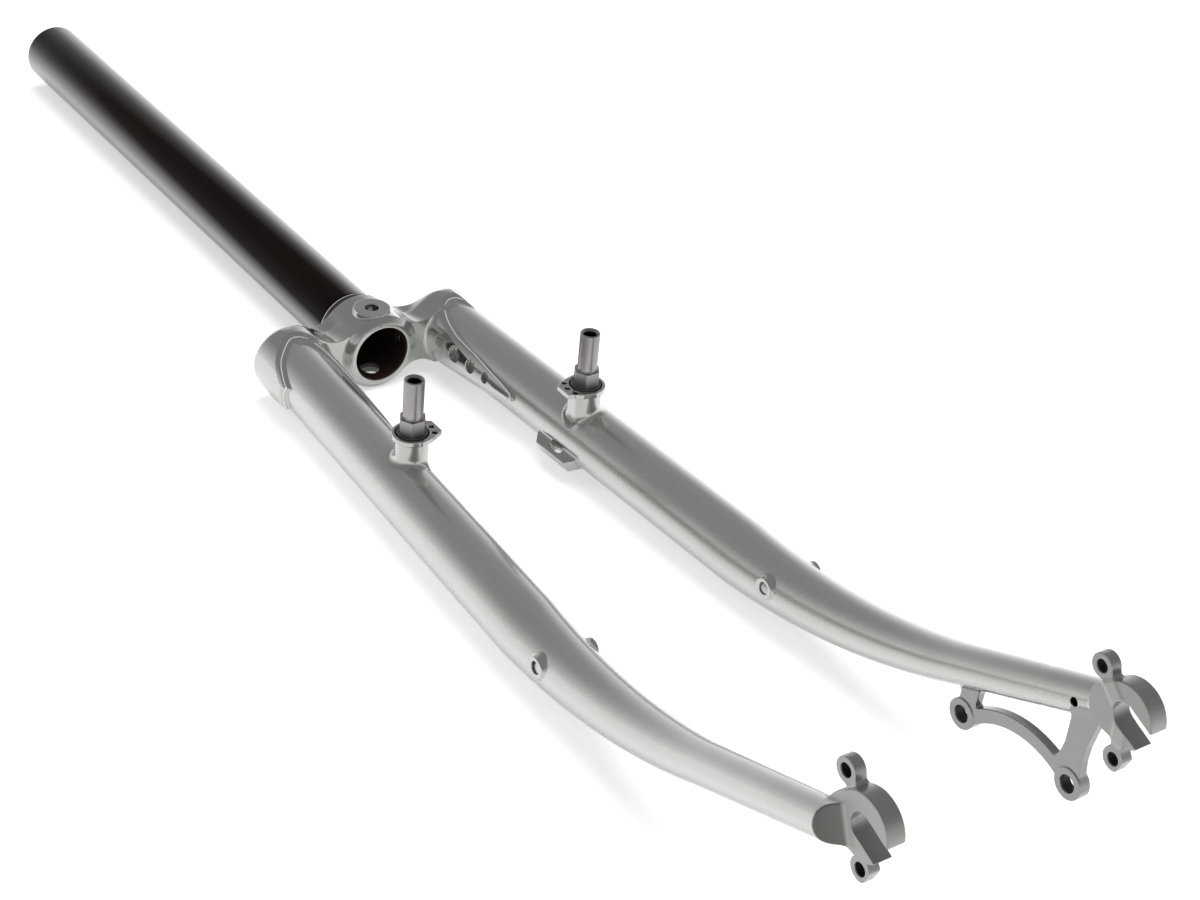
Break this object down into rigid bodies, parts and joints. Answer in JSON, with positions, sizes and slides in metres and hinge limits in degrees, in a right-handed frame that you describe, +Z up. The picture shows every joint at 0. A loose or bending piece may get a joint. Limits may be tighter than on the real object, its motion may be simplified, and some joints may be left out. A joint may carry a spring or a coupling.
{
  "type": "bicycle fork",
  "caption": "Rigid steel bicycle fork with a lugged crown, raked tapering blades, tab dropouts, brake studs, a disc brake mount and a long plain steerer.",
  "frame": {"origin": "on the steerer axis, in the plane of the crown shoulder that the crown race rests on", "axes": "+Y up the steerer, +X to the rider's left, +Z to the front of the bicycle; the fork lies on its back with +Z up"},
  "size_m": [0.1296, 0.7284, 0.0866],
  "materials": {
    "frame_paint": "glossy silver grey paint",
    "steerer_coat": "thin satin black coat",
    "bare_steel": "bare turned steel"
  },
  "bodies": {
    "root": {"steerer_tube": "steerer_coat", "fork_crown": "frame_paint", "left_blade": "frame_paint", "right_blade": "frame_paint", "left_dropout": "frame_paint", "right_dropout": "frame_paint", "disc_mount": "frame_paint", "left_boss_base": "frame_paint", "right_boss_base": "frame_paint", "left_brake_stud": "bare_steel", "right_brake_stud": "bare_steel", "left_rack_boss": "frame_paint", "right_rack_boss": "frame_paint", "hose_guide": "frame_paint"}
  },
  "joints": []
}
